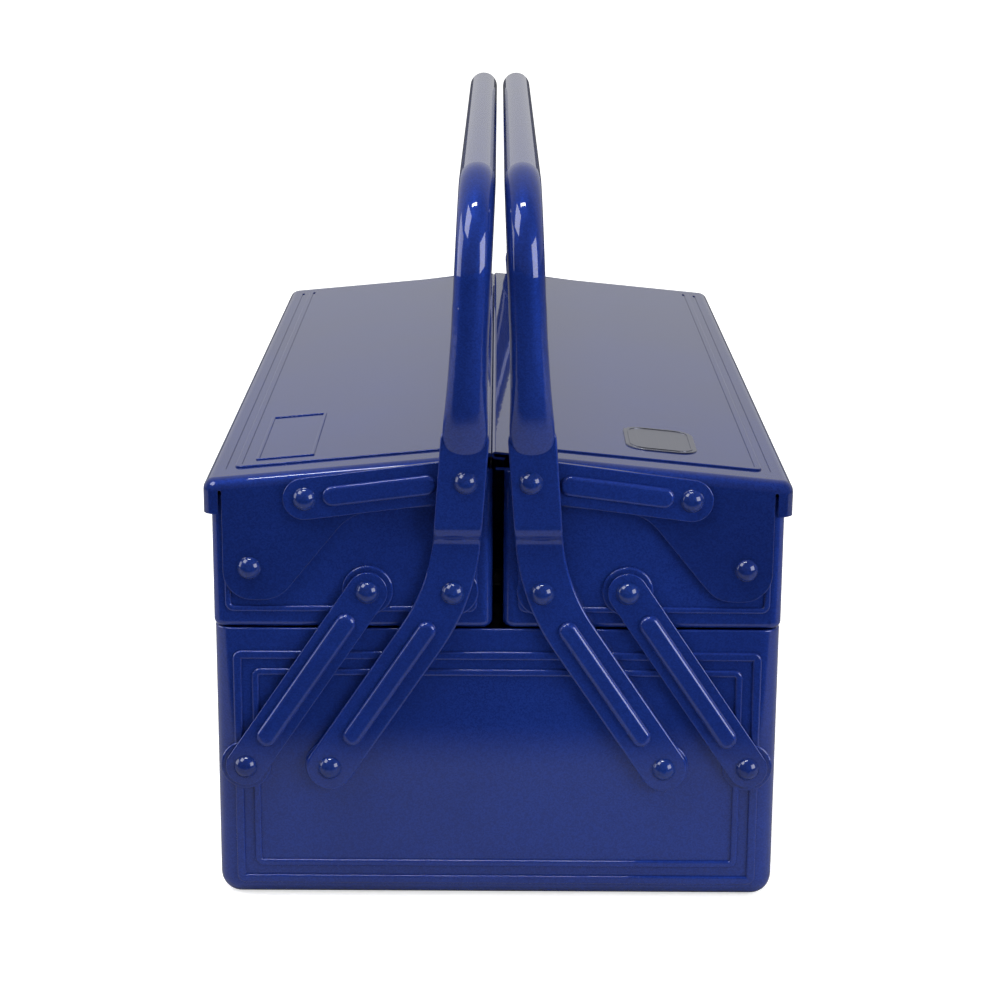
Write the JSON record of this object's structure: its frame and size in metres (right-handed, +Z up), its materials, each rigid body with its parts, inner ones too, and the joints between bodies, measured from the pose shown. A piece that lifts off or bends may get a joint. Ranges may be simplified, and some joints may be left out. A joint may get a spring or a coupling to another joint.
{
  "type": "cantilever tool box",
  "caption": "Sheet steel cantilever tool box: two lidded trays swing out on links from over a deep base when its paired tube handles are pulled apart.",
  "frame": {"origin": "middle of the underside, on the surface that the box stands on", "axes": "+X across the box to the lid with the badge, +Y along the box away from the end with label frame and badge, +Z up"},
  "size_m": [0.22, 0.4432, 0.2835],
  "materials": {
    "enamel": "gloss metallic blue baked enamel",
    "rivet": "steel rivets under the same gloss blue enamel",
    "badge": "plain satin plate"
  },
  "bodies": {
    "base": {"base_box": "enamel", "base_arm_rivets": "rivet", "base_link_rivets": "rivet"},
    "right_handle": {"right_handle": "enamel", "right_handle_link_rivets": "rivet"},
    "right_tray": {"right_tray": "enamel", "right_tray_arm_rivets": "rivet", "right_tray_link_rivets": "rivet", "right_lid_hinge_rivets": "rivet"},
    "right_lid": {"right_lid": "enamel", "lid_badge": "badge"},
    "right_outer_link_front": {"right_outer_link_front": "enamel"},
    "right_lid_link_front": {"right_lid_link_front": "enamel", "right_lid_link_rivet_front": "rivet"},
    "right_outer_link_rear": {"right_outer_link_rear": "enamel"},
    "right_lid_link_rear": {"right_lid_link_rear": "enamel", "right_lid_link_rivet_rear": "rivet"},
    "left_handle": {"left_handle": "enamel", "left_handle_link_rivets": "rivet"},
    "left_tray": {"left_tray": "enamel", "left_tray_arm_rivets": "rivet", "left_tray_link_rivets": "rivet", "left_lid_hinge_rivets": "rivet"},
    "left_lid": {"left_lid": "enamel"},
    "left_outer_link_front": {"left_outer_link_front": "enamel"},
    "left_lid_link_front": {"left_lid_link_front": "enamel", "left_lid_link_rivet_front": "rivet"},
    "left_outer_link_rear": {"left_outer_link_rear": "enamel"},
    "left_lid_link_rear": {"left_lid_link_rear": "enamel", "left_lid_link_rivet_rear": "rivet"}
  },
  "joints": [
    {"name": "right_handle_swing", "type": "hinge", "parent": "base", "child": "right_handle", "pos_m": [0.0637, 0, 0.0549], "axis": [0, 1, 0], "range_deg": [0, 67.8]},
    {"name": "right_tray_level", "type": "hinge", "parent": "right_handle", "child": "right_tray", "pos_m": [0.0168, 0, 0.1247], "axis": [0, 1, 0], "range_deg": [-67.85, 0]},
    {"name": "right_lid_hinge", "type": "hinge", "parent": "right_tray", "child": "right_lid", "pos_m": [0.0931, 0, 0.1337], "axis": [0, 1, 0], "range_deg": [0, 75.45]},
    {"name": "right_outer_link_front_swing", "type": "hinge", "parent": "base", "child": "right_outer_link_front", "pos_m": [0.0958, 0, 0.0549], "axis": [0, 1, 0], "range_deg": [0, 67.85]},
    {"name": "right_lid_link_front_swing", "type": "hinge", "parent": "right_handle", "child": "right_lid_link_front", "pos_m": [0.012, 0, 0.16849], "axis": [0, 1, 0], "range_deg": [-89.71, 0]},
    {"name": "right_outer_link_rear_swing", "type": "hinge", "parent": "base", "child": "right_outer_link_rear", "pos_m": [0.0958, 0, 0.0549], "axis": [0, 1, 0], "range_deg": [0, 67.85]},
    {"name": "right_lid_link_rear_swing", "type": "hinge", "parent": "right_handle", "child": "right_lid_link_rear", "pos_m": [0.012, 0, 0.16849], "axis": [0, 1, 0], "range_deg": [-89.71, 0]},
    {"name": "left_handle_swing", "type": "hinge", "parent": "base", "child": "left_handle", "pos_m": [-0.0637, 0, 0.0549], "axis": [0, -1, 0], "range_deg": [0, 67.8]},
    {"name": "left_tray_level", "type": "hinge", "parent": "left_handle", "child": "left_tray", "pos_m": [-0.0168, 0, 0.1247], "axis": [0, -1, 0], "range_deg": [-67.85, 0]},
    {"name": "left_lid_hinge", "type": "hinge", "parent": "left_tray", "child": "left_lid", "pos_m": [-0.0931, 0, 0.1337], "axis": [0, -1, 0], "range_deg": [0, 75.45]},
    {"name": "left_outer_link_front_swing", "type": "hinge", "parent": "base", "child": "left_outer_link_front", "pos_m": [-0.0958, 0, 0.0549], "axis": [0, -1, 0], "range_deg": [0, 67.85]},
    {"name": "left_lid_link_front_swing", "type": "hinge", "parent": "left_handle", "child": "left_lid_link_front", "pos_m": [-0.012, 0, 0.16849], "axis": [0, -1, 0], "range_deg": [-89.71, 0]},
    {"name": "left_outer_link_rear_swing", "type": "hinge", "parent": "base", "child": "left_outer_link_rear", "pos_m": [-0.0958, 0, 0.0549], "axis": [0, -1, 0], "range_deg": [0, 67.85]},
    {"name": "left_lid_link_rear_swing", "type": "hinge", "parent": "left_handle", "child": "left_lid_link_rear", "pos_m": [-0.012, 0, 0.16849], "axis": [0, -1, 0], "range_deg": [-89.71, 0]}
  ],
  "couplings": [
    {"joint": "right_tray_level", "follows": "right_handle_swing", "ratio": -1},
    {"joint": "right_lid_hinge", "follows": "right_handle_swing", "ratio": 1.1122},
    {"joint": "right_outer_link_front_swing", "follows": "right_handle_swing", "ratio": 1},
    {"joint": "right_lid_link_front_swing", "follows": "right_handle_swing", "ratio": -1.3225},
    {"joint": "right_outer_link_rear_swing", "follows": "right_handle_swing", "ratio": 1},
    {"joint": "right_lid_link_rear_swing", "follows": "right_handle_swing", "ratio": -1.3225},
    {"joint": "left_tray_level", "follows": "left_handle_swing", "ratio": -1},
    {"joint": "left_lid_hinge", "follows": "left_handle_swing", "ratio": 1.1122},
    {"joint": "left_outer_link_front_swing", "follows": "left_handle_swing", "ratio": 1},
    {"joint": "left_lid_link_front_swing", "follows": "left_handle_swing", "ratio": -1.3225},
    {"joint": "left_outer_link_rear_swing", "follows": "left_handle_swing", "ratio": 1},
    {"joint": "left_lid_link_rear_swing", "follows": "left_handle_swing", "ratio": -1.3225}
  ]
}
